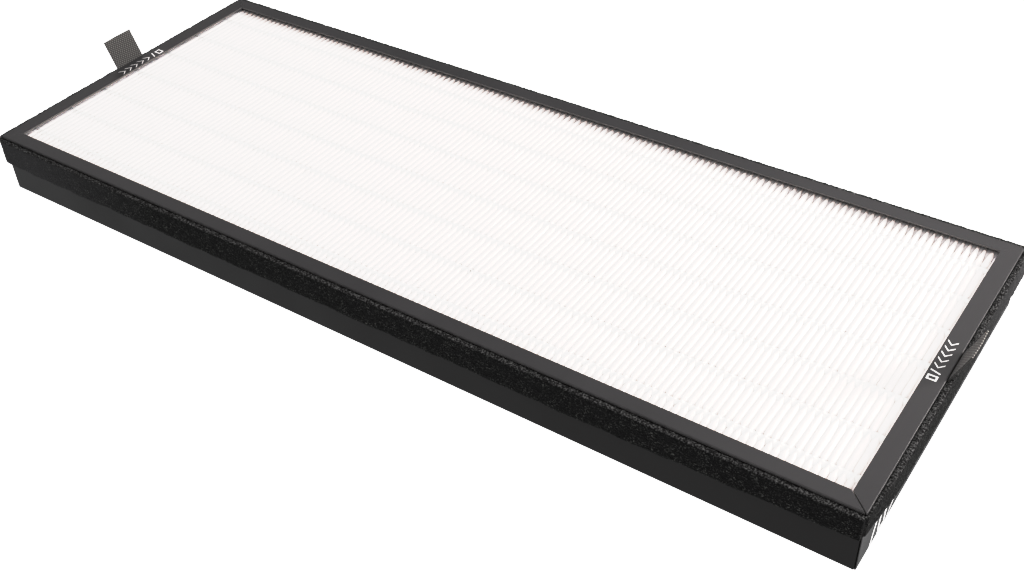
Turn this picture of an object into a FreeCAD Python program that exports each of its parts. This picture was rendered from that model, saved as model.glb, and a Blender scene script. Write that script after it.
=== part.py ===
"""Panel filter for an air purifier: a pleated pack glued into a frame of bent board.

Row frame, millimetres: the origin is the middle of the frame's bottom, +X runs along the
length, +Y across to the rear rail, and +Z up out of the face that the air enters.
The filter lies flat on the bottom lips of its four rails.
"""
import FreeCAD, Part
import math
import os
import re
import Sketcher

# Alias, value in millimetres (or a plain count), and what it measures.
SIZES = [
    ("frame_length", 510.0, "outside of the frame along X"),
    ("frame_width", 193.0, "outside of the frame along Y"),
    ("frame_height", 34.4, "bottom lips to top lips"),
    ("board", 0.8, "thickness of the bent board"),
    ("board_bend", 0.7, "outer radius where the board is bent from wall to lip"),
    ("corner_round", 2.0, "radius of the three upright corners that the board is folded round"),
    ("seam_round", 0.9, "radius of the corner where the board's two ends meet"),
    ("end_lip", 9.1, "width of the lips on the two short rails"),
    ("side_lip", 8.4, "width of the lips on the two long rails"),
    ("mitre_gap", 0.15, "joint between two mitred rails, along the rail"),
    ("corner_seam", 0.7, "how much wider the joint gapes at that corner"),
    ("pleat_pitch", 3.49, "from one fold to the next"),
    ("pack_recess", 1.9, "from under the top lips down to the folds"),
    ("media_thickness", 0.35, "thickness of the filter sheet"),
    ("crest_width", 1.5, "outside of one fold"),
    ("end_glue", 2.5, "least glue between an end wall and the pack"),
    ("side_glue", 2.5, "glue between a long wall and the pleats' open ends"),
    ("bead_pitch", 25.4, "from one row of spacer glue to the next"),
    ("bead_rows", 7, "rows of spacer glue on each face of the pack"),
    ("bead_shift", 1.6, "rows' place in front of the middle of the pack"),
    ("bead_width", 1.8, "width of a row of spacer glue"),
    ("bead_height", 0.5, "how far a row stands out of the folds"),
    ("bead_edge", 0.45, "slope at each side of a row"),
    ("foam_drop", 1.4, "from the frame's top down to the foam"),
    ("foam_width", 15.0, "width of the foam strip, up the wall"),
    ("foam_depth", 3.0, "thickness of the foam strip"),
    ("front_left_round", 7.3, "outside of the foam pulled round that corner"),
    ("rear_left_round", 5.0, "the same at the rear left corner"),
    ("rear_right_round", 3.8, "the same at the rear right corner"),
    ("seam_gap", 0.3, "open joint where the foam strip's two ends meet"),
    ("seam_depth", 0.9, "thickness of the squeezed end of the strip"),
    ("seam_run", 28.0, "where the squeezed end has its full thickness again"),
    ("seam_lift", 3.0, "how far the strip's lower edge climbs at the seam"),
    ("seam_lift_run", 42.0, "where the lower edge starts to climb"),
    ("front_lift", 2.6, "how far the other end's lower edge climbs along the front"),
    ("front_lift_run", 110.0, "where that lower edge starts to climb"),
    ("strap_width", 20.0, "width of a pull strap"),
    ("strap_thickness", 0.8, "thickness of a pull strap"),
    ("strap_root", 13.0, "length that is held between the wall and the foam"),
    ("strap_rise", 15.6, "how far the free end stands above the frame"),
    ("strap_reach", 7.5, "how far the free end stands outside the wall"),
    ("strap_bend", 2.0, "radius inside the strap's bend"),
    ("strap_shift", 0.8, "straps' place behind the middle of the short rails"),
    ("strap_slack", 0.1, "clearance of the foam round the strap"),
]

# Places that more than one piece needs, written with the names above.
PACK_COUNT = "floor((frame_length - 2 * board - 2 * end_glue) / pleat_pitch)"
PACK_LENGTH = f"({PACK_COUNT} * pleat_pitch)"
PACK_WIDTH = "(frame_width - 2 * board - 2 * side_glue)"
PACK_BOTTOM = "(board + bead_height)"
PACK_TOP = "(frame_height - board - pack_recess)"
PLEAT_HEIGHT = "(frame_height - 2 * board - bead_height - pack_recess)"
END_GLUE = f"((frame_length - 2 * board - {PACK_LENGTH}) / 2)"
FOAM_TOP = "(frame_height - foam_drop)"
FOAM_BOTTOM = "(frame_height - foam_drop - foam_width)"
STRAP_LEAN = "atan(strap_reach / (strap_rise + foam_drop))"

doc = FreeCAD.newDocument("purifier_filter")


def make_sheet():
    """The driving dimensions, one row each: name, value, meaning."""
    sheet = doc.addObject("Spreadsheet::Sheet", "Sizes")
    for row, (alias, value, meaning) in enumerate(SIZES, start=1):
        sheet.set(f"A{row}", alias)
        sheet.set(f"B{row}", str(value))
        sheet.set(f"C{row}", meaning)
        sheet.setAlias(f"B{row}", alias)
    doc.recompute()
    return sheet


sizes = make_sheet()
ALIAS = re.compile(r"\b(" + "|".join(alias for alias, _, _ in SIZES) + r")\b")


def on_sheet(text):
    """Point each size's name in an expression at the sheet."""
    return ALIAS.sub(r"Sizes.\1", text)


def measure(text):
    """The present value of an expression of sizes."""
    value = sizes.evalExpression(on_sheet(text))
    return float(getattr(value, "Value", value))


def bind(thing, prop, text):
    """Tie a property of an object to an expression of sizes."""
    thing.setExpression(prop, on_sheet(text))


def place(thing, x, y, z, turn=0, roll=0):
    """Stand a piece at a place given by three expressions, turned about Z and rolled about X."""
    corner = FreeCAD.Vector(measure(x), measure(y), measure(z))
    thing.Placement = FreeCAD.Placement(corner, FreeCAD.Rotation(turn, 0, roll))
    for axis, text in zip("xyz", (x, y, z)):
        bind(thing, f"Placement.Base.{axis}", text)


def new_body(name):
    body = doc.addObject("PartDesign::Body", name)
    body.Label = name
    return body


def origin_part(body, role):
    """One of the body's own planes or axes."""
    return next(part for part in body.Origin.OriginFeatures if part.Role == role)


def new_sketch(body, name, plane):
    sketch = body.newObject("Sketcher::SketchObject", f"{body.Name}_{name}")
    sketch.AttachmentSupport = [(origin_part(body, plane), "")]
    sketch.MapMode = "FlatFace"
    return sketch


def pin(sketch, edge, end, corner):
    """Hold one end of an edge at a place given by two expressions."""
    for kind, text in zip(("DistanceX", "DistanceY"), corner):
        rule = sketch.addConstraint(Sketcher.Constraint(kind, -1, 1, edge, end, measure(text)))
        bind(sketch, f"Constraints[{rule}]", text)


def draw_outline(sketch, corners):
    """A closed outline of straight lines, each corner pinned by its two expressions."""
    points = [FreeCAD.Vector(measure(x), measure(y), 0) for x, y in corners]
    following = points[1:] + points[:1]
    edges = [sketch.addGeometry(Part.LineSegment(*ends), False) for ends in zip(points, following)]
    for edge, after in zip(edges, edges[1:] + edges[:1]):
        sketch.addConstraint(Sketcher.Constraint("Coincident", edge, 2, after, 1))
    for edge, corner in zip(edges, corners):
        pin(sketch, edge, 1, corner)


def pad(body, sketch, length, both_ways=False):
    feature = body.newObject("PartDesign::Pad", f"{sketch.Name}_pad")
    feature.Profile = sketch
    bind(feature, "Length", length)
    feature.SideType = "Symmetric" if both_ways else "One side"
    return feature


def pocket_up(body, sketch):
    """Cut the sketch away through everything on the positive side of its plane."""
    feature = body.newObject("PartDesign::Pocket", f"{sketch.Name}_pocket")
    feature.Profile = sketch
    feature.Type = "ThroughAll"
    feature.Reversed = True
    return feature


def mirror(body, feature, plane):
    twin = body.newObject("PartDesign::Mirrored", f"{feature.Name}_mirror")
    twin.Originals = [feature]
    twin.MirrorPlane = (origin_part(body, plane), [""])
    body.Tip = twin
    return twin


def round_edges(body, feature, name, radius, chosen):
    """Round the edges of the finished feature that the test picks by their middle point."""
    doc.recompute()
    names = []
    for index, edge in enumerate(feature.Shape.Edges, start=1):
        middle = edge.valueAt((edge.FirstParameter + edge.LastParameter) / 2)
        if chosen(middle, edge):
            names.append(f"Edge{index}")
    fillet = body.newObject("PartDesign::Fillet", f"{body.Name}_{name}")
    fillet.Base = (feature, names)
    bind(fillet, "Radius", radius)
    return fillet


def is_upright(edge):
    box = edge.BoundBox
    return box.XLength < 1e-6 and box.YLength < 1e-6 and box.ZLength > 1e-6


def near(point, x, y):
    return math.hypot(point.x - x, point.y - y) < 0.01


def trim_corner(body, length, end, radius):
    """Round a rail's upright corner at one end: 1 for +X and -1 for -X."""
    sketch = new_sketch(body, "right_corner" if end > 0 else "left_corner", "XY_Plane")
    sign = "" if end > 0 else "-"
    tip = (f"{sign}{length} / 2", "0")
    along = (f"{sign}({length} / 2 - {radius})", "0")
    across = (f"{sign}{length} / 2", radius)
    corners = [FreeCAD.Vector(measure(x), measure(y), 0) for x, y in (along, tip, across)]
    centre = FreeCAD.Vector(corners[0].x, corners[2].y, 0)
    circle = Part.Circle(centre, FreeCAD.Vector(0, 0, 1), measure(radius))
    start, at_along, at_across = (-math.pi / 2, 1, 2) if end > 0 else (-math.pi, 2, 1)
    sketch.addGeometry(Part.LineSegment(corners[0], corners[1]), False)
    sketch.addGeometry(Part.LineSegment(corners[1], corners[2]), False)
    sketch.addGeometry(Part.ArcOfCircle(circle, start, start + math.pi / 2), False)
    sketch.addConstraint(Sketcher.Constraint("Coincident", 0, 2, 1, 1))
    sketch.addConstraint(Sketcher.Constraint("Coincident", 1, 2, 2, at_across))
    sketch.addConstraint(Sketcher.Constraint("Coincident", 0, 1, 2, at_along))
    pin(sketch, 0, 1, along)
    pin(sketch, 1, 1, tip)
    pin(sketch, 1, 2, across)
    rule = sketch.addConstraint(Sketcher.Constraint("Radius", 2, measure(radius)))
    bind(sketch, f"Constraints[{rule}]", radius)
    return pocket_up(body, sketch)


def make_rail(name, length, lip, lip_across, x, y, turn, seam_end=0):
    """One side of the frame: board bent into a channel, mitred where it meets its neighbours.

    In the rail's own frame X runs along it, Y points into the frame and Z up, and the
    wall's outer face lies at Y = 0. The end at the seam, 1 for +X and -1 for -X, is where
    the frame's board starts or ends: its corner is sharper, and a +X end falls short there.
    """
    body = new_body(name)
    section = new_sketch(body, "section", "YZ_Plane")
    draw_outline(section, [
        ("0", "0"),
        (lip, "0"),
        (lip, "board"),
        ("board", "board"),
        ("board", "frame_height - board"),
        (lip, "frame_height - board"),
        (lip, "frame_height"),
        ("0", "frame_height"),
    ])
    pad(body, section, length, both_ways=True)

    mitre = new_sketch(body, "mitre", "XY_Plane")
    start = f"{length} / 2 - mitre_gap / 2"
    draw_outline(mitre, [
        (start, "0"),
        (f"{length} / 2", "0"),
        (f"{length} / 2", lip),
        (f"{start} - {lip_across}", lip),
    ])
    mirror(body, pocket_up(body, mitre), "YZ_Plane")

    for end in (-1, 1):
        trimmed = trim_corner(body, length, end, "seam_round" if end == seam_end else "corner_round")
    levels = (0, measure("frame_height"))

    def on_rim(middle, edge):
        return middle.y < 0.01 and any(abs(middle.z - level) < 0.01 for level in levels)

    round_edges(body, trimmed, "bends", "board_bend", on_rim)
    if seam_end > 0:
        short_end = new_sketch(body, "short_end", "XY_Plane")
        draw_outline(short_end, [
            (f"{start} - corner_seam", "0"),
            (f"{length} / 2", "0"),
            (f"{length} / 2", lip),
            (f"{start} - corner_seam - {lip_across}", lip),
        ])
        pocket_up(body, short_end)
    place(body, x, y, "0", turn)
    return body


def make_media():
    """The filter sheet, folded back and forth: one fold drawn, padded and repeated.

    The folds run along Y. Each is flattened a little on the outside, where the spacer glue
    sits, and the sheet keeps its thickness round them.
    """
    body = new_body("pleated_media")
    fold = new_sketch(body, "fold", "XZ_Plane")
    half = "pleat_pitch / 2"
    crest = "crest_width / 2"
    inside = "(crest_width / 2 - media_thickness)"
    top = PLEAT_HEIGHT
    draw_outline(fold, [
        ("0", "0"),
        (crest, "0"),
        (f"{half} - {inside}", f"{top} - media_thickness"),
        (f"{half} + {inside}", f"{top} - media_thickness"),
        (f"pleat_pitch - {crest}", "0"),
        ("pleat_pitch", "0"),
        ("pleat_pitch", "media_thickness"),
        (f"pleat_pitch - {inside}", "media_thickness"),
        (f"{half} + {crest}", top),
        (f"{half} - {crest}", top),
        (inside, "media_thickness"),
        ("0", "media_thickness"),
    ])
    first = pad(body, fold, PACK_WIDTH, both_ways=True)
    first.Refine = False
    folds = body.newObject("PartDesign::LinearPattern", "pleated_media_folds")
    folds.Originals = [first]
    folds.Direction = (origin_part(body, "X_Axis"), [""])
    folds.Refine = False
    bind(folds, "Occurrences", PACK_COUNT)
    bind(folds, "Length", f"{PACK_LENGTH} - pleat_pitch")
    body.Tip = folds
    place(body, f"-{PACK_LENGTH} / 2", "0", PACK_BOTTOM)
    return body


def make_bead(name, row, top):
    """A row of hot glue along X that holds the folds apart, on one face of the pack."""
    body = new_body(name)
    section = new_sketch(body, "section", "YZ_Plane")
    side = "bead_width / 2"
    shoulder = "(bead_width / 2 - bead_edge)"
    draw_outline(section, [
        (f"-{side}", "0"),
        (side, "0"),
        (shoulder, "bead_height"),
        (f"-{shoulder}", "bead_height"),
    ])
    pad(body, section, PACK_LENGTH, both_ways=True)
    across = f"({row} - (bead_rows + 1) / 2) * bead_pitch - bead_shift"
    place(body, "0", across, PACK_TOP if top else PACK_BOTTOM, roll=0 if top else 180)
    return body


def make_glue(name, length, width, x, y):
    """A slab of hot glue that seals the pack to one wall, from the bottom lip to the folds."""
    slab = doc.addObject("Part::Box", name)
    slab.Label = name
    bind(slab, "Length", length)
    bind(slab, "Width", width)
    bind(slab, "Height", f"{PACK_TOP} - board")
    place(slab, x, y, "board")
    return slab


def make_gasket():
    """One strip of foam stuck round the walls under the lip, its ends meeting at one corner.

    It is pulled tight round the corners. The end on the right wall is squeezed thin and
    butts against the end that comes along the front, and both climb a little.
    """
    body = new_body("gasket_strip")
    strip = new_sketch(body, "plan", "XY_Plane")
    wall_x, wall_y = "frame_length / 2", "frame_width / 2"
    face_x, face_y = f"({wall_x} + foam_depth)", f"({wall_y} + foam_depth)"
    draw_outline(strip, [
        (wall_x, f"-{wall_y}"),
        (f"-{wall_x}", f"-{wall_y}"),
        (f"-{wall_x}", wall_y),
        (wall_x, wall_y),
        (wall_x, f"seam_gap - {wall_y}"),
        (f"{wall_x} + seam_depth", f"seam_gap - {wall_y}"),
        (face_x, f"seam_run - {wall_y}"),
        (face_x, face_y),
        (f"-{face_x}", face_y),
        (f"-{face_x}", f"-{face_y}"),
        (wall_x, f"-{face_y}"),
    ])
    ring = pad(body, strip, "foam_width")

    inner_x, inner_y = measure(wall_x), measure(wall_y)
    outer_x, outer_y = measure(face_x), measure(face_y)
    inner_corners = [(-inner_x, -inner_y), (-inner_x, inner_y), (inner_x, inner_y)]

    def on_wall(middle, edge):
        return is_upright(edge) and any(near(middle, *corner) for corner in inner_corners)

    last = round_edges(body, ring, "wall_corners", "corner_round", on_wall)
    outer_corners = [
        ("front_left_round", -outer_x, -outer_y),
        ("rear_left_round", -outer_x, outer_y),
        ("rear_right_round", outer_x, outer_y),
    ]
    for alias, x, y in outer_corners:
        last = round_edges(body, last, alias, alias,
                           lambda middle, edge: is_upright(edge) and near(middle, x, y))

    climb = new_sketch(body, "climb", "YZ_Plane")
    draw_outline(climb, [
        (f"-{wall_y}", "0"),
        (f"seam_lift_run - {wall_y}", "0"),
        (f"-{wall_y}", "seam_lift"),
    ])
    pocket_up(body, climb)
    front_climb = new_sketch(body, "front_climb", "XZ_Plane")
    draw_outline(front_climb, [
        (f"{wall_x} - front_lift_run", "0"),
        (wall_x, "0"),
        (wall_x, "front_lift"),
    ])
    pocket_up(body, front_climb)

    half = "(strap_width / 2 + strap_slack)"
    depth = "(strap_thickness + strap_slack)"
    for side, sign in (("left", "-"), ("right", "")):
        slot = new_sketch(body, f"{side}_slot", "XY_Plane")
        inside, outside = f"{sign}{wall_x}", f"{sign}({wall_x} + {depth})"
        draw_outline(slot, [
            (inside, f"strap_shift - {half}"),
            (outside, f"strap_shift - {half}"),
            (outside, f"strap_shift + {half}"),
            (inside, f"strap_shift + {half}"),
        ])
        pocket_up(body, slot)
    place(body, "0", "0", FOAM_BOTTOM)
    return body


def make_strap(name, x, y, turn):
    """A pull strap: woven tape, its root held between wall and foam, its end standing free.

    In the strap's own frame X points out of the wall, whose outer face lies at X = 0.
    """
    body = new_body(name)
    profile = new_sketch(body, "profile", "XZ_Plane")
    rise, drop = "(foam_drop + strap_rise)", f"strap_thickness * tan({STRAP_LEAN} / 2)"
    draw_outline(profile, [
        ("0", "-strap_root"),
        ("strap_thickness", "-strap_root"),
        ("strap_thickness", f"-{drop}"),
        (f"strap_reach + strap_thickness * cos({STRAP_LEAN})",
         f"{rise} - strap_thickness * sin({STRAP_LEAN})"),
        ("strap_reach", rise),
        ("0", "0"),
    ])
    blank = pad(body, profile, "strap_width", both_ways=True)
    bends = [(0, 0), (measure("strap_thickness"), -measure(drop))]
    radii = [("inner_bend", "strap_bend + strap_thickness"), ("outer_bend", "strap_bend")]
    for (name_of, radius), (across, up) in zip(radii, bends):
        blank = round_edges(
            body, blank, name_of, radius,
            lambda middle, edge: math.hypot(middle.x - across, middle.z - up) < 0.01
            and abs(middle.y) < 0.01)
    place(body, x, y, FOAM_TOP, turn)
    return body


HALF_LENGTH, HALF_WIDTH = "frame_length / 2", "frame_width / 2"
pieces = [
    make_rail("frame_front_rail", "frame_length", "side_lip", "end_lip", "0", f"-{HALF_WIDTH}", 0,
              seam_end=1),
    make_rail("frame_rear_rail", "frame_length", "side_lip", "end_lip", "0", HALF_WIDTH, 180),
    make_rail("frame_left_rail", "frame_width", "end_lip", "side_lip", f"-{HALF_LENGTH}", "0", -90),
    make_rail("frame_right_rail", "frame_width", "end_lip", "side_lip", HALF_LENGTH, "0", 90,
              seam_end=-1),
    make_media(),
    make_glue("edge_glue_front", PACK_LENGTH, "side_glue",
              f"-{PACK_LENGTH} / 2", f"board - {HALF_WIDTH}"),
    make_glue("edge_glue_rear", PACK_LENGTH, "side_glue",
              f"-{PACK_LENGTH} / 2", f"{HALF_WIDTH} - board - side_glue"),
    make_glue("edge_glue_left", END_GLUE, "frame_width - 2 * board",
              f"board - {HALF_LENGTH}", f"board - {HALF_WIDTH}"),
    make_glue("edge_glue_right", END_GLUE, "frame_width - 2 * board",
              f"{PACK_LENGTH} / 2", f"board - {HALF_WIDTH}"),
    make_gasket(),
    make_strap("pull_strap_left", f"-{HALF_LENGTH}", "strap_shift", 180),
    make_strap("pull_strap_right", HALF_LENGTH, "strap_shift", 0),
]
for row in range(1, int(measure("bead_rows")) + 1):
    pieces.append(make_bead(f"spacer_bead_top_{row}", row, top=True))
    pieces.append(make_bead(f"spacer_bead_bottom_{row}", row, top=False))

doc.recompute()
for thing in doc.Objects:
    if {"Invalid", "Error"} & set(thing.State):
        raise RuntimeError(f"{thing.Name} failed to build: {thing.State}")
for piece in pieces:
    if piece.Shape.isNull() or not piece.Shape.isValid() or len(piece.Shape.Solids) != 1:
        raise RuntimeError(f"{piece.Label} is not one valid solid")

os.makedirs("parts", exist_ok=True)
for piece in pieces:
    piece.Shape.exportStep(os.path.join("parts", f"{piece.Label}.step"))
    box = piece.Shape.BoundBox
    print(f"{piece.Label}: {piece.Shape.Volume:.1f} mm3, "
          f"x {box.XMin:.2f} to {box.XMax:.2f}, y {box.YMin:.2f} to {box.YMax:.2f}, "
          f"z {box.ZMin:.2f} to {box.ZMax:.2f}")
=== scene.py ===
"""The air purifier filter with its finishes, in metres, in the part's own frame.

X runs along the filter, Y across it to the rear rail, and Z up out of the pleated face.
"""
import math

import bpy
import numpy as np
from mathutils import Matrix, Vector


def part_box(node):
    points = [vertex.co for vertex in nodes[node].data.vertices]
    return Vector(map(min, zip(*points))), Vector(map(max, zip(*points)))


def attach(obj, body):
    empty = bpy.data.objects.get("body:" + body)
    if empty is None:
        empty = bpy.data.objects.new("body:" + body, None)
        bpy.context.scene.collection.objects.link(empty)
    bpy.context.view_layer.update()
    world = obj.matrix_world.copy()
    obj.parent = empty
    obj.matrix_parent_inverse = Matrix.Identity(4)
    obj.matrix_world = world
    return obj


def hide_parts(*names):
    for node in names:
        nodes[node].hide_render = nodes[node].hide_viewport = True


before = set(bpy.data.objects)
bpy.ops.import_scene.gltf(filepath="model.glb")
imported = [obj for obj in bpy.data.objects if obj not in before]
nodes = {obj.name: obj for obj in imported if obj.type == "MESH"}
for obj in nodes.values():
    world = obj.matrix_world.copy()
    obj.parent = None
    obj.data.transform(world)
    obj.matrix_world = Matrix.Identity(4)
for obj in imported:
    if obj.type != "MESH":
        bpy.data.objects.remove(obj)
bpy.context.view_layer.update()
mm = 0.001
sides = ("front", "rear", "left", "right")

# Every finish is made of the same few parts. A noise keeps nearly all of its values between these two.
noise_low, noise_high = 0.3, 0.7


def finish(name, colour, roughness, **sockets):
    """A new finish, with what is the same all over set on its shader."""
    material = bpy.data.materials.new(name)
    material.use_nodes = True
    shader = material.node_tree.nodes["Principled BSDF"]
    shader.inputs["Base Color"].default_value = (*colour, 1)
    shader.inputs["Roughness"].default_value = roughness
    for socket, value in sockets.items():
        shader.inputs[socket.replace("_", " ")].default_value = value
    return material


def node(material, kind, inputs, **settings):
    """A node with its settings made, and its sockets set to a value or joined to an output."""
    made = material.node_tree.nodes.new("ShaderNode" + kind)
    for name, value in settings.items():
        setattr(made, name, value)
    for socket, value in inputs.items():
        if isinstance(value, bpy.types.NodeSocket):
            material.node_tree.links.new(value, made.inputs[socket])
        else:
            made.inputs[socket].default_value = value
    return made


def join(material, output, socket):
    """Lead an output to one of the finish's own sockets."""
    shader = material.node_tree.nodes["Principled BSDF"]
    material.node_tree.links.new(output, shader.inputs[socket])


def place_on(material):
    """The place on the piece, in the part's own frame."""
    return node(material, "TexCoord", {}).outputs["Object"]


def part_of(material, vector, axis):
    """One of a vector's three numbers."""
    return node(material, "SeparateXYZ", {"Vector": vector}).outputs[axis]


def facing_up_on(material):
    """How far the surface faces up: 1 where it lies flat, 0 where it stands upright."""
    return part_of(material, node(material, "TexCoord", {}).outputs["Normal"], "Z")


def noise_on(material, scale, detail):
    """A number that wanders over the piece; the scale is in waves to the metre."""
    made = node(material, "TexNoise", {"Vector": place_on(material), "Scale": scale, "Detail": detail})
    return made.outputs["Fac"]


def result_of(material, operation, first, second):
    """The result of one sum, or of one comparison, which is 1 where it holds and 0 elsewhere."""
    return node(material, "Math", {0: first, 1: second}, operation=operation).outputs["Value"]


def amount_of(material, factor, low, high, start=noise_low, end=noise_high):
    """A number that runs from low to high as the factor runs from start to end."""
    made = node(material, "MapRange", {"Value": factor, "From Min": start, "From Max": end,
                                       "To Min": low, "To Max": high})
    return made.outputs["Result"]


def blend_of(material, factor, dark, light, start=noise_low, end=noise_high):
    """A colour that runs from dark to light as the factor runs from start to end."""
    made = node(material, "ValToRGB", {"Fac": factor})
    made.color_ramp.elements[0].position = start
    made.color_ramp.elements[1].position = end
    made.color_ramp.elements[0].color = (*dark, 1)
    made.color_ramp.elements[1].color = (*light, 1)
    return made.outputs["Color"]


def mix_of(material, share, first, second):
    """One colour laid over another; share is how much of the second shows."""
    made = node(material, "Mix", {}, data_type="RGBA")
    for socket, value in (("Factor", share), ("A", first), ("B", second)):
        kind = "VALUE" if socket == "Factor" else "RGBA"
        target = next(put for put in made.inputs if put.name == socket and put.type == kind)
        if isinstance(value, bpy.types.NodeSocket):
            material.node_tree.links.new(value, target)
        else:
            target.default_value = value
    return next(out for out in made.outputs if out.type == "RGBA")


def relief_on(material, height, strength, depth):
    """Fine relief on the finish, from a height; what comes back is the way that the surface faces."""
    made = node(material, "Bump", {"Height": height, "Strength": strength, "Distance": depth})
    join(material, made.outputs["Normal"], "Normal")
    return made.outputs["Normal"]


# Many pieces are made by the same few steps, too.


def places_of(mesh):
    """The places of a mesh's vertices, a row for each."""
    places = np.empty(len(mesh.vertices) * 3)
    mesh.vertices.foreach_get("co", places)
    return places.reshape(-1, 3)


def thicken(piece, thickness, offset):
    """Give a flat piece its thickness: half to each side at offset 0, all to its front at 1."""
    body = piece.modifiers.new("thickness", "SOLIDIFY")
    body.thickness = thickness
    body.offset = offset
    bpy.ops.object.modifier_apply(modifier=body.name)


def repeat_along_pack(piece, merged):
    """Repeat a piece at every fold after the first, its copies merged into one or left apart."""
    repeat = piece.modifiers.new("along_the_pack", "ARRAY")
    repeat.count = pleats - 1
    repeat.use_relative_offset = False
    repeat.use_constant_offset = True
    repeat.constant_offset_displace = (pitch, 0, 0)
    repeat.use_merge_vertices = merged
    repeat.merge_threshold = 0.01 * mm
    bpy.ops.object.modifier_apply(modifier=repeat.name)


# The camera stands off the front long side, to the right, and looks down on the pleated face. It is
# close enough for the filter to fill the picture, and it leans a little to the right.
bpy.ops.object.camera_add(location=(0.3323, -0.4235, 0.4081))
camera = bpy.context.object
swing, dip, lean = math.radians(36.03), math.radians(39.33), math.radians(2.74)
camera.rotation_euler = (
    Matrix.Rotation(swing, 3, "Z")
    @ Matrix.Rotation(math.pi / 2 - dip, 3, "X")
    @ Matrix.Rotation(-lean, 3, "Z")
).to_euler()
camera.data.lens = 44.4
bpy.context.scene.camera = camera

# The studio is a white sweep: a floor that shines by itself, so that hardly a shadow falls on it, an
# even white sky, and softboxes behind the filter, above it, low in front of it and off both ends, with
# a little warmth in their light. White paper that is folded this deep passes light on many times before
# it comes out. The exposure puts the paper on the shoulder of the film: a tone curve leaves the darks
# alone and draws the lights together. The green and blue curves warm only the tones just under white.
picture = bpy.context.scene.view_settings
picture.view_transform = "Standard"
picture.use_curve_mapping = True
film = picture.curve_mapping
film.white_level = (1.05, 1.05, 1.05)
green, blue, all_colours = 1, 2, 3
film_tones = {
    all_colours: ((0.18, 0.19), (0.36, 0.68), (0.52, 0.86), (0.76, 0.932), (0.93, 0.973)),
    green: ((0.5, 0.5), (0.92, 0.90), (0.96, 0.954)),
    blue: ((0.5, 0.5), (0.915, 0.885), (0.95, 0.938)),
}
for curve, points in film_tones.items():
    for light, tone in points:
        film.curves[curve].points.new(light, tone).handle_type = "AUTO_CLAMPED"
film.update()
light_paths = bpy.context.scene.cycles
bounces = 24
light_paths.max_bounces = light_paths.diffuse_bounces = light_paths.transmission_bounces = bounces
sky = bpy.data.worlds.new("white_studio")
sky.use_nodes = True
sky_light = sky.node_tree.nodes["Background"]
sky_light.inputs["Color"].default_value = (1.0, 0.98, 0.975, 1)
sky_light.inputs["Strength"].default_value = 0.36
bpy.context.scene.world = sky
lamp_colour = (1.0, 0.95, 0.93)


def softbox(name, place, aim, size, power):
    """A square lamp with a soft edge, turned to face a point on the filter."""
    bpy.ops.object.light_add(type="AREA", location=place)
    lamp = bpy.context.object
    lamp.name = name
    lamp.data.size = size
    lamp.data.energy = power
    lamp.data.color = lamp_colour
    lamp.rotation_euler = (Vector(aim) - Vector(place)).to_track_quat("-Z", "Y").to_euler()


softbox("softbox_behind", (0.06, 1.00, 1.06), (0, 0, 0), 0.8, 9.4)
softbox("softbox_above", (0.62, -0.10, 0.85), (0.15, 0, 0), 0.8, 4.8)
softbox("softbox_front", (0.25, -1.15, 0.56), (0.10, 0.05, 0.03), 0.5, 4.2)
softbox("softbox_left", (-1.40, 0.70, 0.90), (-0.2, 0, 0), 0.6, 2.3)
softbox("softbox_right", (0.66, 0.34, 0.20), (0.25, 0.05, 0), 0.2, 5.0)

floor_size, floor_drop = 9, 0.2 * mm
bpy.ops.mesh.primitive_plane_add(size=floor_size, location=(0, 0, -floor_drop))
floor = bpy.context.object
floor.name = "studio_floor"
floor.data.materials.append(finish("white_sweep", (0.10, 0.10, 0.10), 0.9,
                                   Emission_Color=(1, 1, 1, 1), Emission_Strength=1.04))

# The frame is four rails of board, bent over at top and bottom and mitred at the corners. The board is
# coated black: a satin skin with a fine grain and faint cloudy patches. What faces up is lighter, partly
# from a film of dust and partly as painted top light; the bends are lighter, partly rubbed and partly a
# painted highlight; and the lips' cut edges are greyer.
frame_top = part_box("frame_front_rail")[1].z
cut_edge_height, upright_below = 0.78 * mm, 0.1
rub_and_highlight_start, rub_and_highlight_most, rub_and_highlight_end = 0.35, 0.70, 0.93
board = finish("coated_board", (0.006, 0.0058, 0.006), 0.48, Specular_IOR_Level=0.15)
facing_up = facing_up_on(board)
patches = noise_on(board, 22.0, 3.0)
grain, scuffs = noise_on(board, 1900.0, 3.0), noise_on(board, 260.0, 4.0)
coat = blend_of(board, patches, (0.0036, 0.0029, 0.0028), (0.0052, 0.0043, 0.0042))
# Dust and painted top light: upward faces get this lighter colour, partly dust and partly painted light
# from above.
dust_and_top_light = blend_of(board, patches, (0.0385, 0.0376, 0.039), (0.0490, 0.0478, 0.0495))
dusted_and_top_lit = mix_of(board, node(board, "Clamp", {"Value": facing_up}).outputs["Result"], coat, dust_and_top_light)
# Rubbed wear and painted highlight: the bends, between upward and upright faces, are painted lighter.
bend = node(board, "ValToRGB", {"Fac": facing_up})
bend.color_ramp.elements[0].position, bend.color_ramp.elements[1].position = rub_and_highlight_start, rub_and_highlight_end
bend.color_ramp.elements[0].color = bend.color_ramp.elements[1].color = (0, 0, 0, 1)
bend.color_ramp.elements.new(rub_and_highlight_most).color = (1, 1, 1, 1)
rubbed_and_highlit = result_of(board, "MULTIPLY", bend.outputs["Color"], amount_of(board, scuffs, 0.0, 1.0))
worn_and_highlit = mix_of(board, rubbed_and_highlit, dusted_and_top_lit, (0.085, 0.083, 0.082, 1))
height = part_of(board, place_on(board), "Z")
near_top = result_of(board, "GREATER_THAN", height, frame_top - cut_edge_height)
upright = result_of(board, "LESS_THAN", facing_up, upright_below)
cut_edge = result_of(board, "MULTIPLY", near_top, upright)
join(board, mix_of(board, cut_edge, worn_and_highlit, (0.15, 0.148, 0.148, 1)), "Base Color")
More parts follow.
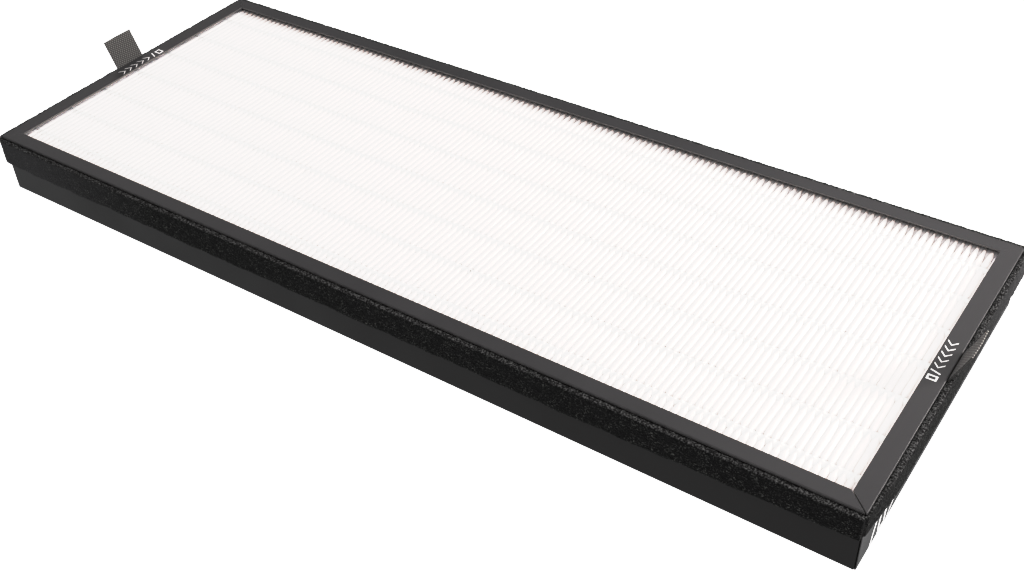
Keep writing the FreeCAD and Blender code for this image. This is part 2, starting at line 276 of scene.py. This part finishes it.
join(board, amount_of(board, patches, 0.42, 0.52), "Roughness")
relief_on(board, grain, 0.25, 0.05 * mm)
for side in sides:
    rail = nodes[f"frame_{side}_rail"]
    rail.data.materials.clear()
    rail.data.materials.append(board)

# The filter sheet is one length of white non-woven glass paper, folded back and forth by machine. The
# rows of glue hold the folds straight and a pitch apart; between the rows the folds swell until they
# nearly touch, and they stand open at their rear end. The open lengths are measured from the middle of
# a row, to its front and behind it, and from the rear lip.
pitch = 3.49 * mm
sheet_thickness = 0.35 * mm
sheet_low, sheet_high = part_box("pleated_media")
pleats = round((sheet_high.x - sheet_low.x) / pitch)
bead_row_count = 7
bead_rows = sorted((low.y + high.y) / 2 for low, high in (
    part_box(f"spacer_bead_top_{number}") for number in range(1, bead_row_count + 1)))
outer_round = 0.75 * mm
fold_round = outer_round - sheet_thickness / 2
held_front, held = 1.6 * mm, 1.0 * mm
open_front, open_behind, open_rear = 4.2 * mm, 2.4 * mm, 11 * mm
lip_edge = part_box("frame_rear_rail")[0].y
chance = np.random.default_rng(7)


def rows_across():
    """Places along a fold: close together at each row of glue, further apart between."""
    steps = (-open_front, -held_front, held, open_behind)
    near_glue = [row + step for row in bead_rows for step in steps]
    between = [(start + end) / 2 for start, end in zip(bead_rows, bead_rows[1:])]
    rear_end = [lip_edge - open_rear, lip_edge, sheet_high.y]
    return np.array(sorted([sheet_low.y] + near_glue + between + rear_end))


def bay_of(across):
    """Which bay between two rows of glue each place lies in, and how far along it."""
    rows = np.array([sheet_low.y] + bead_rows + [sheet_high.y])
    bay = np.clip(np.searchsorted(rows, across, side="right") - 1, 0, len(rows) - 2)
    return bay, (across - rows[bay]) / (rows[bay + 1] - rows[bay])


def closed(across):
    """How far the gap between two folds has closed, from 0 at the glue and at the rear end to 1."""
    behind = across[:, None] - np.array(bead_rows)
    opening = np.where(behind < 0, open_front, open_behind)
    from_glue = (abs(behind) - held) / (opening - held)
    return np.clip(np.minimum(from_glue.min(axis=1), (lip_edge - across) / open_rear), 0, 1)


def wander(across, size, count):
    """How far each of count folds strays at each place: nothing at the glue, most between."""
    bay, share = bay_of(across)
    second_wave, kinks = 0.6, 0.16
    bows, waves = chance.normal(0, size, (2, count, len(bead_rows) + 1))
    strayed = bows[:, bay] * np.sin(math.pi * share)
    strayed += second_wave * waves[:, bay] * np.sin(2 * math.pi * share)
    return strayed + chance.normal(0, size * kinks, (count, len(across)))


# One fold in eight stations, each with its place along the pack, its height, and how much it goes with
# the right side of the fold when that moves. The five stations of the crest move; the rest stay.
slant = math.sqrt(0.5)
low_z, high_z = sheet_low.z + sheet_thickness / 2, sheet_high.z - sheet_thickness / 2
crest_x, crest_drop = slant * fold_round, (1 - slant) * fold_round
fold_stations = np.array([
    (0, low_z, 0),
    (fold_round, low_z + fold_round, 0),
    (pitch / 2 - fold_round, high_z - fold_round, 0),
    (pitch / 2 - crest_x, high_z - crest_drop, 0.5 - slant / 2),
    (pitch / 2, high_z, 0.5),
    (pitch / 2 + crest_x, high_z - crest_drop, 0.5 + slant / 2),
    (pitch / 2 + fold_round, high_z - fold_round, 1),
    (pitch - fold_round, low_z + fold_round, 0),
])
fold_x, fold_z, with_right = fold_stations.T
crest_start, crest_end = 2, 6
columns = len(fold_stations) * pleats

across = rows_across()
bpy.ops.object.select_all(action="DESELECT")
bpy.ops.mesh.primitive_grid_add(x_subdivisions=columns, y_subdivisions=len(across) - 1, size=1)
media = bpy.context.object
media.name = "filter_sheet"
places = places_of(media.data)
column = np.rint((places[:, 0] + 0.5) * columns).astype(int)
row = np.rint((places[:, 1] + 0.5) * (len(across) - 1)).astype(int)
fold, station = np.divmod(column, len(fold_stations))
least_gap = 0.08 * mm
most_swell = pitch / 2 - fold_round - sheet_thickness / 2 - least_gap
fold_sway, uneven_swell, fold_stoop = 0.12 * mm, 0.06, 0.06 * mm
sway = wander(across, fold_sway, pleats + 2)
slack = abs(chance.normal(0, uneven_swell, (pleats + 2, len(across))))
swell = most_swell * closed(across) * (1 - slack)
stoop = -abs(wander(across, fold_stoop, pleats + 1))[fold, row]
on_crest = (station >= crest_start) & (station <= crest_end)
left_side = (sway - swell)[fold, row]
right_side = (sway + swell)[fold + 1, row]
moved = left_side + (right_side - left_side) * with_right[station]
places[:, 0] = sheet_low.x + fold * pitch + fold_x[station]
places[:, 0] += np.where(on_crest, moved, 0)
places[:, 1] = across[row]
places[:, 2] = fold_z[station] + np.where(on_crest, stoop, 0)
media.data.vertices.foreach_set("co", places.ravel())
thicken(media, sheet_thickness, 0)
bpy.ops.object.shade_smooth()

# The paper is white with faint clouds and a fibrous lay, and half of the light that falls on it goes
# through.
paper = finish("glass_paper", (0.93, 0.925, 0.915), 0.95, Specular_IOR_Level=0.15)
fibres, clouds = noise_on(paper, 700.0, 5.0), noise_on(paper, 30.0, 2.0)
join(paper, blend_of(paper, clouds, (0.975, 0.941, 0.926), (0.985, 0.953, 0.939)), "Base Color")
lay = relief_on(paper, fibres, 0.35, 0.08 * mm)
tree = paper.node_tree
through = node(paper, "BsdfTranslucent", {"Color": (0.988, 0.968, 0.958, 1), "Normal": lay})
sheer = node(paper, "MixShader", {"Fac": 0.5, 1: tree.nodes["Principled BSDF"].outputs["BSDF"],
                                  2: through.outputs["BSDF"]})
tree.links.new(sheer.outputs["Shader"], tree.nodes["Material Output"].inputs["Surface"])
media.data.materials.append(paper)
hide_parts("pleated_media")
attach(media, "root")

# The spacer glue is hot glue, laid in lines across the folds. It lies as a thin ridge on each fold and
# sags into the gap beside it, where it sets as a plug that keeps the folds apart. The plug spreads more
# to the front than behind, and the whole row drifts and swells a little along the pack.
bead_width, bead_depth = 1.8 * mm, 0.3 * mm
ridge_height, ridge_dip = 0.05 * mm, 0.45 * mm
ridge_share, spread_behind, spread_front = 0.5, 2.4, 4.4
plug_depth, plug_curve = 8.0 * mm, 1.5
bead_drift, drift_length, bead_swell = 0.5 * mm, 25, 0.12
slices, first_draw, spare_draws = 4, 10, 40
draws = slices * pleats + spare_draws


def glue_row(name, across_y, top):
    """One row: a length of glue over one fold, repeated along the pack and made uneven."""
    bpy.ops.object.select_all(action="DESELECT")
    bpy.ops.mesh.primitive_cylinder_add(vertices=8, radius=0.5, depth=1, end_fill_type="NOTHING")
    bead = bpy.context.object
    bead.name = name
    bpy.ops.object.mode_set(mode="EDIT")
    bpy.ops.mesh.select_all(action="SELECT")
    bpy.ops.transform.rotate(value=math.pi / 2, orient_axis="Y", center_override=(0, 0, 0))
    bpy.ops.object.mode_set(mode="OBJECT")
    for edge in bead.data.edges:
        start, end = [bead.data.vertices[v].co.x for v in edge.vertices]
        edge.select = abs(start - end) > 0.5
    bpy.ops.object.mode_set(mode="EDIT")
    bpy.ops.mesh.select_mode(type="EDGE")
    bpy.ops.mesh.subdivide(number_cuts=slices - 1)
    bpy.ops.object.mode_set(mode="OBJECT")
    for vertex in bead.data.vertices:
        in_gap = 1 - abs(vertex.co.x) * 2
        up = vertex.co.z * 2
        rise = ridge_height - ridge_dip * in_gap
        sink = -bead_depth - (plug_depth - bead_depth) * in_gap ** plug_curve
        vertex.co.z = sink + (rise - sink) * math.sqrt((up + 1) / 2)
        spread = spread_behind if vertex.co.y > 0 else spread_front
        vertex.co.y *= bead_width * (ridge_share + spread * in_gap)
        vertex.co.x *= pitch
    repeat_along_pack(bead, merged=True)
    bpy.ops.object.mode_set(mode="EDIT")
    bpy.ops.mesh.select_mode(type="EDGE")
    bpy.ops.mesh.select_all(action="DESELECT")
    bpy.ops.mesh.select_non_manifold()
    bpy.ops.mesh.fill_holes(sides=0)
    bpy.ops.mesh.select_all(action="SELECT")
    bpy.ops.mesh.normals_make_consistent(inside=False)
    bpy.ops.object.mode_set(mode="OBJECT")
    places = places_of(bead.data)
    draw = np.rint(places[:, 0] / pitch * slices).astype(int) + first_draw
    drift = np.convolve(chance.normal(0, 1, draws), np.ones(drift_length) / drift_length, "same")[draw]
    swell = 1 + bead_swell * chance.normal(0, 1, draws)[draw]
    places[:, 0] += sheet_low.x + pitch
    places[:, 1] = across_y + places[:, 1] * swell + bead_drift * drift
    places[:, 2] = (places[:, 2] if top else -places[:, 2]) + (sheet_high.z if top else sheet_low.z)
    bead.data.vertices.foreach_set("co", places.ravel())
    if not top:
        bead.data.flip_normals()
    bpy.ops.object.shade_smooth()
    return bead


# The glue's grey is partly its own colour and partly painted shade of the grooves beside each row.
glue = finish("spacer_hot_glue", (0.70, 0.69, 0.67), 0.38)
ripple = noise_on(glue, 420.0, 2.0)
join(glue, blend_of(glue, ripple, (0.56, 0.555, 0.54), (0.66, 0.655, 0.64)), "Base Color")
relief_on(glue, ripple, 0.3, 0.15 * mm)
for number, across_y in enumerate(bead_rows, start=1):
    for face in ("top", "bottom"):
        bead = glue_row(f"glue_row_{face}_{number}", across_y, face == "top")
        bead.data.materials.append(glue)
        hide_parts(f"spacer_bead_{face}_{number}")
        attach(bead, "root")

# The pack's four edges are set in hot glue against the walls, under the lips. It is run in thicker than
# the rows, so it is whiter. In the open joint at the front right corner, where X less Y is greatest, it
# is painted black as painted shade for the dark gap of the joint.
joint_shade_from = 0.344
edge_glue = finish("edge_hot_glue", (0.91, 0.91, 0.94), 0.45)
flow = noise_on(edge_glue, 160.0, 3.0)
clean_glue = blend_of(edge_glue, flow, (0.89, 0.89, 0.92), (0.94, 0.94, 0.965))
glue_x, glue_y = (part_of(edge_glue, place_on(edge_glue), axis) for axis in "XY")
# Painted shade: the glue is painted black where it shows in the open corner joint.
painted_joint_shade = result_of(edge_glue, "GREATER_THAN", result_of(edge_glue, "SUBTRACT", glue_x, glue_y), joint_shade_from)
join(edge_glue, mix_of(edge_glue, painted_joint_shade, clean_glue, (0.012, 0.012, 0.012, 1)), "Base Color")
relief_on(edge_glue, flow, 0.5, 0.5 * mm)
for side in sides:
    slab = nodes[f"edge_glue_{side}"]
    slab.data.materials.clear()
    slab.data.materials.append(edge_glue)

# Where the folds stand open at the rear wall, the sealing glue fills each gap with a slope that falls
# away from the wall. Its grey is painted shade of the gaps: darker where the slope has fallen deep, away
# from the wall, and lighter towards the lip.
darkest_shade_until, lightest_shade_from = lip_edge - 7 * mm, lip_edge + 2 * mm
fillet_glue = finish("gap_glue_painted_with_shade", (0.50, 0.49, 0.49), 0.6)
deep_gap_shade = blend_of(fillet_glue, noise_on(fillet_glue, 160.0, 3.0), (0.27, 0.265, 0.27), (0.35, 0.34, 0.345))
fillet_y = part_of(fillet_glue, place_on(fillet_glue), "Y")
# Painted shade: the fillets' grey runs from deep gap shade away from the wall to lighter towards the lip.
lip_side_share = amount_of(fillet_glue, fillet_y, 0.0, 1.0, start=darkest_shade_until, end=lightest_shade_from)
join(fillet_glue, mix_of(fillet_glue, lip_side_share, deep_gap_shade, (0.52, 0.51, 0.52, 1)), "Base Color")

fillet_length, fillet_bottom, fillet_cuts = 14 * mm, -11 * mm, 3
fillet_top, fillet_fall, fillet_curve = -0.4 * mm, 6.5 * mm, 2.2
fillet_width, fillet_flare = 1.9 * mm, 0.25 * mm
bpy.ops.object.select_all(action="DESELECT")
bpy.ops.mesh.primitive_cube_add(size=1)
fillet = bpy.context.object
fillet.name = "glue_fillets_rear"
bpy.ops.object.mode_set(mode="EDIT")
bpy.ops.mesh.subdivide(number_cuts=fillet_cuts)
bpy.ops.object.mode_set(mode="OBJECT")
for vertex in fillet.data.vertices:
    to_wall = vertex.co.y + 0.5
    surface = fillet_top - fillet_fall * (1 - to_wall) ** fillet_curve
    vertex.co.z = fillet_bottom + (surface - fillet_bottom) * (vertex.co.z + 0.5)
    vertex.co.y = (to_wall - 1) * fillet_length
    vertex.co.x *= fillet_width + fillet_flare * to_wall
repeat_along_pack(fillet, merged=False)
fillet.data.transform(Matrix.Translation((sheet_low.x + pitch, sheet_high.y, sheet_high.z)))
bpy.ops.object.shade_smooth()
fillet.data.materials.append(fillet_glue)
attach(fillet, "root")

# At each end of the pack the sealing glue has run in over the first two folds, to a ragged edge.
run_length, run_ragged, run_cuts = 6.8 * mm, 0.3 * mm, 24
run_top, run_fall, run_thickness = 0.2 * mm, 1.2 * mm, 1.6 * mm
long_wave, short_wave = 230, 510


def glue_run(name, side):
    """The glue at one end; side is -1 at the left end and 1 at the right."""
    bpy.ops.object.select_all(action="DESELECT")
    bpy.ops.mesh.primitive_cube_add(size=1)
    run = bpy.context.object
    run.name = name
    bpy.ops.object.mode_set(mode="EDIT")
    bpy.ops.mesh.subdivide(number_cuts=run_cuts)
    bpy.ops.object.mode_set(mode="OBJECT")
    for vertex in run.data.vertices:
        inward = 0.5 + vertex.co.x
        along = vertex.co.y * (sheet_high.y - sheet_low.y)
        ragged_edge = run_ragged * (math.sin(long_wave * along) + math.sin(short_wave * along + side))
        sunk = run_top + run_fall * inward ** 4 + run_thickness * (0.5 - vertex.co.z)
        vertex.co = (sheet_low.x + inward * (run_length + ragged_edge), along, sheet_high.z - sunk)
    if side > 0:
        run.data.transform(Matrix.Rotation(math.pi, 4, "Z"))
    bpy.ops.object.shade_smooth()
    run.data.materials.append(edge_glue)
    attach(run, "root")


glue_run("glue_run_left", -1)
glue_run("glue_run_right", 1)

# The sealing strip is soft black open-cell foam, stuck round the walls by its back and pulled tight at
# the corners. Its skin is torn cells, with a few painted bright as glints where cells catch the light.
# Its upper side is lighter, partly from lint that has settled and partly as painted top light. Its lower
# edge is uneven, its upper edge is lifted a little, and it is painted lighter towards the left end and
# the rear.
foam_low, foam_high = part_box("gasket_strip")
cell_size, tear_size, tear_depth, tear_level = 0.78 * mm, 1.3 * mm, 0.7 * mm, 0.62
uneven_height, unevenness = 4 * mm, 0.22 * mm
lifted_height, lift = 2 * mm, 0.45 * mm
turn_along_x, turn_along_y = 60, 83
edge_waves = ((1, 0), (2.7, 1), (6.1, 0))
bpy.ops.object.select_all(action="DESELECT")
strip = bpy.data.objects.new("foam_strip", nodes["gasket_strip"].data.copy())
bpy.context.scene.collection.objects.link(strip)
bpy.context.view_layer.objects.active = strip
strip.select_set(True)
bpy.ops.object.mode_set(mode="EDIT")
bpy.ops.mesh.select_all(action="SELECT")
bpy.ops.mesh.remove_doubles(threshold=0.001 * mm)
bpy.ops.mesh.normals_make_consistent(inside=False)
bpy.ops.object.mode_set(mode="OBJECT")
cells = strip.modifiers.new("cells", "REMESH")
cells.mode = "VOXEL"
cells.voxel_size = cell_size
bpy.ops.object.modifier_apply(modifier=cells.name)
torn = bpy.data.textures.new("torn_cells", "CLOUDS")
torn.noise_scale = tear_size
tear = strip.modifiers.new("torn_skin", "DISPLACE")
tear.texture = torn
tear.strength = tear_depth
tear.mid_level = tear_level
bpy.ops.object.modifier_apply(modifier=tear.name)
places = places_of(strip.data)
along = places[:, 0] * turn_along_x + places[:, 1] * turn_along_y
low_share = np.clip(1 - (places[:, 2] - foam_low.z) / uneven_height, 0, 1)
places[:, 2] += low_share * unevenness * sum(np.sin(rate * along + shift) for rate, shift in edge_waves)
places[:, 2] += lift * np.clip(1 - (foam_high.z - places[:, 2]) / lifted_height, 0, 1)
strip.data.vertices.foreach_set("co", places.ravel())
bpy.ops.object.shade_smooth()

foam = finish("open_cell_foam", (0.006, 0.006, 0.006), 0.85, Specular_IOR_Level=0.10)
pores = node(foam, "TexVoronoi", {"Vector": place_on(foam), "Scale": 1250.0, "Randomness": 1.0})
speckle, clumps = noise_on(foam, 1300.0, 2.0), noise_on(foam, 210.0, 2.0)
# Painted glints: a few cells are painted bright, as if catching the light.
shine = blend_of(foam, speckle, (0.0025, 0.0025, 0.0025), (0.095, 0.097, 0.09), 0.55, 0.75)
dull = mix_of(foam, amount_of(foam, clumps, 0.0, 1.0), (0.003, 0.003, 0.003, 1), shine)
# Lint and painted top light: the upper side is painted lighter, partly as lint and partly for light from
# above.
lint_and_top_light = blend_of(foam, speckle, (0.008, 0.008, 0.008), (0.12, 0.12, 0.12), 0.45, 0.70)
# Painted light: the foam is painted lighter towards the left end and the rear, where more light falls on
# it.
left_end_painted_light = amount_of(foam, part_of(foam, place_on(foam), "X"), 0.0, 0.45, start=-0.13, end=-0.23)
rear_painted_light = amount_of(foam, part_of(foam, place_on(foam), "Y"), 0.0, 0.6, start=-0.01, end=0.10)
painted_light_left_and_rear = mix_of(foam, result_of(foam, "MAXIMUM", left_end_painted_light, rear_painted_light), dull, (0.055, 0.054, 0.056, 1))
lint_and_top_light_share = amount_of(foam, facing_up_on(foam), 0.0, 1.0, start=0.3, end=0.8)
join(foam, mix_of(foam, lint_and_top_light_share, painted_light_left_and_rear, lint_and_top_light), "Base Color")
relief_on(foam, pores.outputs["Distance"], 0.9, 0.5 * mm)
strip.data.materials.clear()
strip.data.materials.append(foam)
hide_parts("gasket_strip")
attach(strip, "root")

# A pull strap is a short length of pressed non-woven tape, its root held between wall and foam and its
# end standing up and outwards. The press leaves a lattice of small raised dots on both faces. The tape
# starts to bend a little below the foam's upper edge, and its end is slightly bowed.
strap_width, strap_thickness, press_depth = 20 * mm, 0.8 * mm, 0.1 * mm
strap_root, bend_below, bend_radius = 13 * mm, 1.4 * mm, 2.4 * mm
dot_pitch, dot_radius, dot_height = 1.75 * mm, 0.34, 0.07 * mm
end_bow = 0.15 * mm


def pull_strap(name, side, rise, reach):
    """A strap on one end of the filter; side is -1 at the left end and 1 at the right."""
    tilt = math.atan2(reach, rise + bend_below)
    free = math.hypot(reach, rise + bend_below)
    length = strap_root + free
    bpy.ops.object.select_all(action="DESELECT")
    bpy.ops.mesh.primitive_grid_add(x_subdivisions=58, y_subdivisions=92, size=1, calc_uvs=True)
    strap = bpy.context.object
    strap.name = name
    low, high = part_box(f"pull_{name}")
    middle = (low.y + high.y) / 2
    wall = low.x if side > 0 else high.x
    bend_start = strap_root - bend_radius * math.tan(tilt / 2)
    bend_end = bend_start + bend_radius * tilt
    for vertex in strap.data.vertices:
        u, v = vertex.co.x * strap_width, (vertex.co.y + 0.5) * length
        a = (u + v) / dot_pitch
        b = (u - v) / dot_pitch
        dot = math.hypot(a - round(a), b - round(b))
        raised = dot_height * max(0.0, 1 - (dot / dot_radius) ** 2)
        if v < bend_start:
            out, up, turned = 0.0, v, 0.0
        else:
            turned = min((v - bend_start) / bend_radius, tilt)
            past = max(v - bend_end, 0.0)
            out = bend_radius * (1 - math.cos(turned)) + past * math.sin(turned)
            up = bend_start + bend_radius * math.sin(turned) + past * math.cos(turned)
        out += strap_thickness / 2 + raised * math.cos(turned)
        bow = end_bow * max(0.0, (v - strap_root) / free) ** 2 * math.cos(2 * math.pi * vertex.co.x)
        vertex.co = (wall + side * (out + bow), middle + side * u, foam_high.z - strap_root + up)
    thicken(strap, strap_thickness - press_depth, 0)
    bpy.ops.object.shade_smooth()
    strap.data.materials.append(non_woven)
    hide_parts(f"pull_{name}")
    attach(strap, "root")


# The dots' colour follows their lattice on the strap's own unrolled face, which is drawn for one length
# of free tape at both ends.
lattice_free = 17.5 * mm
dots_across, dots_along = strap_width / dot_pitch, (strap_root + lattice_free) / dot_pitch
non_woven = finish("pressed_non_woven", (0.06, 0.06, 0.06), 0.8, Sheen_Weight=0.08, Sheen_Roughness=0.4)
unrolled = node(non_woven, "TexCoord", {}).outputs["UV"]
on_tape = node(non_woven, "Mapping", {"Vector": unrolled, "Location": (-0.5 * dots_across, 0, 0),
                                      "Scale": (dots_across, dots_along, 1.0)})
lattice = node(non_woven, "Mapping", {"Vector": on_tape.outputs["Vector"],
                                      "Rotation": (0, 0, math.pi / 4), "Scale": (math.sqrt(2),) * 3})
from_dot = node(non_woven, "TexVoronoi", {"Vector": lattice.outputs["Vector"], "Scale": 1.0,
                                          "Randomness": 0.0}).outputs["Distance"]
tape_colour = blend_of(non_woven, from_dot, (0.20, 0.198, 0.19), (0.040, 0.038, 0.037), 0.10, dot_radius)
join(non_woven, tape_colour, "Base Color")
relief_on(non_woven, noise_on(non_woven, 2500.0, 3.0), 0.4, 0.1 * mm)
pull_strap("strap_left", -1, 15.2 * mm, 7.3 * mm)
pull_strap("strap_right", 1, 15.4 * mm, 7.2 * mm)

# White marks are printed on the two short lips and on the right wall. They are plain pointers: a row of
# chevrons, a slanted bar and a square ring on each lip, and one of each, larger, on the wall.
ink_film = 0.04 * mm
bar_share, shape_share = 0.55, 0.82
ring_inside, ring_middle = 0.3, 0.1


def ink_shape(kind, along, height, width, stroke):
    """One shape of the mark, flat: its middle is at along, and it points to +X."""
    cuts_x, cuts_y = {"chevron": (1, 2), "bar": (1, 1), "ring": (3, 3)}[kind]
    bpy.ops.mesh.primitive_grid_add(x_subdivisions=cuts_x, y_subdivisions=cuts_y, size=1)
    shape = bpy.context.object
    for vertex in shape.data.vertices:
        u, v = vertex.co.x, vertex.co.y
        if kind == "ring":
            x, y = [math.copysign(size / 2 - (stroke if abs(part) < ring_inside else 0), part)
                    for part, size in ((u, width), (v, height))]
            vertex.co = (along + x, y, 0)
        else:
            lean = 0.5 - 2 * abs(v) if kind == "chevron" else v
            vertex.co = (along + u * stroke + lean * (width - stroke), v * height, 0)
    if kind == "ring":
        bpy.ops.object.mode_set(mode="EDIT")
        bpy.ops.mesh.select_mode(type="FACE")
        bpy.ops.mesh.select_all(action="DESELECT")
        bpy.ops.object.mode_set(mode="OBJECT")
        for face in shape.data.polygons:
            face.select = (face.center - Vector((along, 0, 0))).length < ring_middle * width
        bpy.ops.object.mode_set(mode="EDIT")
        bpy.ops.mesh.delete(type="FACE")
        bpy.ops.object.mode_set(mode="OBJECT")
    return shape


def printed_mark(name, kinds, pitch_along, height, stroke, middle, reading, upward):
    """A row of shapes that reads along one direction, laid on the board at its middle."""
    bpy.ops.object.select_all(action="DESELECT")
    shapes = []
    for number, kind in enumerate(kinds):
        width = (bar_share if kind == "bar" else shape_share) * pitch_along
        along = (number - (len(kinds) - 1) / 2) * pitch_along
        shapes.append(ink_shape(kind, along, height, width, stroke))
    for shape in shapes:
        shape.select_set(True)
    bpy.context.view_layer.objects.active = shapes[0]
    bpy.ops.object.join()
    made = bpy.context.object
    made.name = name
    thicken(made, ink_film, 1)
    reading, upward = Vector(reading), Vector(upward)
    turn = Matrix((reading, upward, reading.cross(upward))).transposed().to_4x4()
    made.data.transform(Matrix.Translation(middle) @ turn)
    made.data.materials.append(ink)
    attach(made, "root")


ink = finish("white_ink", (0.7, 0.7, 0.7), 0.6)
thin_spots = noise_on(ink, 900.0, 3.0)
join(ink, blend_of(ink, thin_spots, (0.30, 0.30, 0.31), (0.55, 0.55, 0.55), 0.25, 0.5), "Base Color")
relief_on(ink, thin_spots, 0.2, 0.03 * mm)
right_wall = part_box("frame_right_rail")[1].x
lip_middle = right_wall - 5.75 * mm
lip_pointer, lip_mark_height, lip_stroke = ["chevron"] * 5 + ["bar", "ring"], 4.7 * mm, 0.9 * mm
printed_mark("mark_left", lip_pointer, 4.85 * mm, lip_mark_height, lip_stroke,
             (-lip_middle, 4 * mm, frame_top), (0, 1, 0), (-1, 0, 0))
printed_mark("mark_right", lip_pointer, 4.2 * mm, lip_mark_height, lip_stroke,
             (lip_middle, 0.6 * mm, frame_top), (0, -1, 0), (1, 0, 0))
printed_mark("mark_wall", ["bar", "ring", "chevron"], 9.5 * mm, 13 * mm, 1.6 * mm,
             (right_wall, -71 * mm, 7.5 * mm), (0, 1, 0), (0, 0, 1))

# A crumb of the foam has come to lie on the folds, near the middle of the front half.
crumb_radius, crumb_ragged = 0.3 * mm, 0.25 * mm
crumb_place = (39.0 * mm, -53.4 * mm, sheet_high.z + 0.1 * mm)
bpy.ops.object.select_all(action="DESELECT")
bpy.ops.mesh.primitive_ico_sphere_add(subdivisions=2, radius=crumb_radius, location=crumb_place)
crumb = bpy.context.object
crumb.name = "foam_crumb"
bpy.ops.object.transform_apply(location=True, rotation=True, scale=True)
ragged = crumb.modifiers.new("ragged", "DISPLACE")
ragged.texture = torn
ragged.texture_coords = "LOCAL"
ragged.strength = crumb_ragged
bpy.ops.object.modifier_apply(modifier=ragged.name)
crumb.data.materials.append(foam)
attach(crumb, "root")
